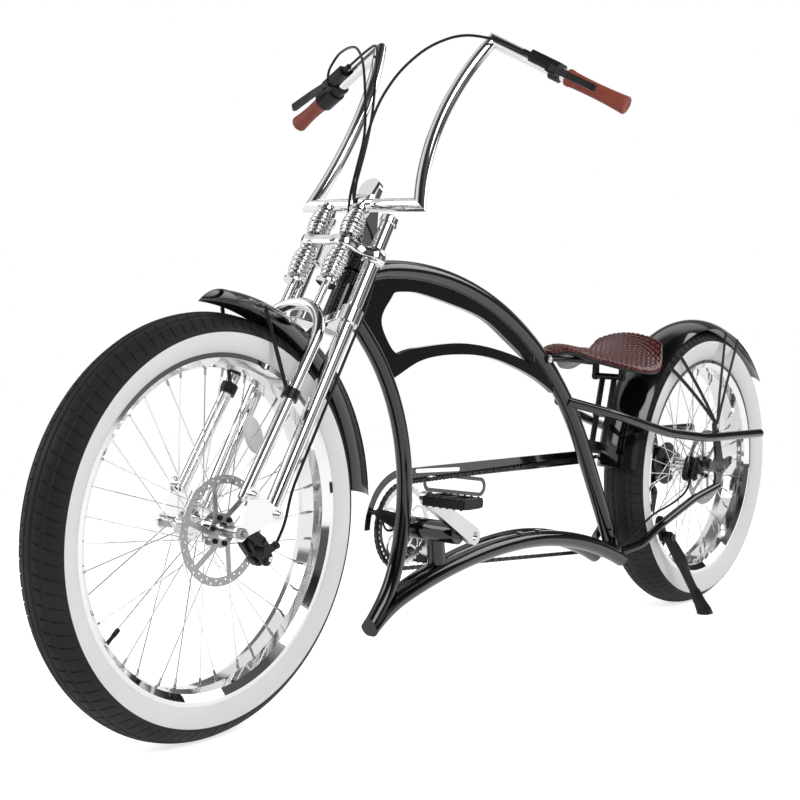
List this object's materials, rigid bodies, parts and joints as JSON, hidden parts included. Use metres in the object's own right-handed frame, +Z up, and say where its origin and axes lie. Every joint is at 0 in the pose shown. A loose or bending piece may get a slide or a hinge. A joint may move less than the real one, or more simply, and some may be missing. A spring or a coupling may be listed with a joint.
{
  "type": "bicycle",
  "caption": "Stretch cruiser bicycle with an arched tube frame, springer fork, tall bars, disc brakes, chain drive, sprung saddle and side stand, leaning on the stand.",
  "frame": {"origin": "on the ground under the middle of the parked bicycle", "axes": "+X forward, +Y to the bicycle's left, +Z up; the bicycle leans left onto its stand"},
  "size_m": [2.3337, 0.7928, 1.2234],
  "materials": {
    "gloss_black": "gloss black paint",
    "satin_black": "satin black",
    "chrome": "bright chrome plate",
    "alloy": "bright alloy",
    "steel": "bare steel",
    "dark_grey": "dark grey paint",
    "tyre": "black tread with white walls",
    "rubber": "black rubber",
    "leather": "embossed red-brown leather",
    "grip": "red-brown grip"
  },
  "bodies": {
    "frame": {"head_tube": "gloss_black", "frame_arch": "gloss_black", "down_tube": "gloss_black", "frame_web": "gloss_black", "lower_tubes": "gloss_black", "bottom_bracket": "gloss_black", "side_tubes": "gloss_black", "chainstays": "gloss_black", "dropouts": "dark_grey", "rear_axle": "steel", "rear_fender": "gloss_black", "fender_stays": "dark_grey", "rear_caliper": "satin_black", "saddle": "leather", "seat_frame": "satin_black", "seat_strut": "satin_black", "chain_rear": "steel", "chain_lower": "steel", "chain_front": "steel", "chain_upper": "steel", "cassette": "steel", "derailleur": "satin_black", "chain_guard": "gloss_black", "guard_bracket": "satin_black", "stand_bracket": "satin_black", "rear_cable": "rubber"},
    "fork": {"fork_legs": "chrome", "steerer": "steel", "front_legs": "chrome", "spring_rods": "chrome", "upper_crown": "chrome", "lower_crown": "chrome", "fork_springs": "chrome", "rockers": "chrome", "front_axle": "steel", "bar_cross": "chrome", "bar_risers": "chrome", "bar_ends": "chrome", "grips": "grip", "brake_levers": "satin_black", "stem": "chrome", "front_fender": "gloss_black", "front_fender_stays": "satin_black", "front_caliper": "satin_black", "fork_cables": "rubber"},
    "front_wheel": {"front_tyre": "tyre", "front_rim": "chrome", "front_hub": "chrome", "front_rotor": "steel", "front_spokes": "chrome"},
    "rear_wheel": {"rear_tyre": "tyre", "rear_rim": "chrome", "rear_hub": "chrome", "rear_rotor": "steel", "rear_spokes": "chrome"},
    "crank": {"cranks": "alloy", "chainring": "alloy"},
    "pedal_l": {"pedal_left": "rubber"},
    "pedal_r": {"pedal_right": "rubber"},
    "stand": {"side_stand": "satin_black"}
  },
  "joints": [
    {"name": "steering", "type": "hinge", "parent": "frame", "child": "fork", "pos_m": [0.47265, -0.01339, 0.73551], "axis": [-0.5075, 0.0326, 0.861], "range_deg": [-35, 35]},
    {"name": "front_wheel_spin", "type": "hinge", "parent": "fork", "child": "front_wheel", "pos_m": [0.81765, -0.02803, 0.34909], "axis": [0, 0.9993, -0.0379], "continuous": true},
    {"name": "rear_wheel_spin", "type": "hinge", "parent": "frame", "child": "rear_wheel", "pos_m": [-0.83235, -0.02858, 0.3344], "axis": [0, 0.9993, -0.0379], "continuous": true},
    {"name": "crank_spin", "type": "hinge", "parent": "frame", "child": "crank", "pos_m": [0.19065, -0.03065, 0.27984], "axis": [0, 0.9993, -0.0379], "continuous": true},
    {"name": "pedal_left_spin", "type": "hinge", "parent": "crank", "child": "pedal_l", "pos_m": [0.33787, -0.02743, 0.36478], "axis": [0, 0.9993, -0.0379], "continuous": true},
    {"name": "pedal_right_spin", "type": "hinge", "parent": "crank", "child": "pedal_r", "pos_m": [0.04343, -0.03387, 0.1949], "axis": [0, 0.9993, -0.0379], "continuous": true},
    {"name": "stand_fold", "type": "hinge", "parent": "frame", "child": "stand", "pos_m": [-0.61235, 0.04089, 0.18707], "axis": [0, 0.9993, -0.0379], "range_deg": [0, 70]}
  ]
}
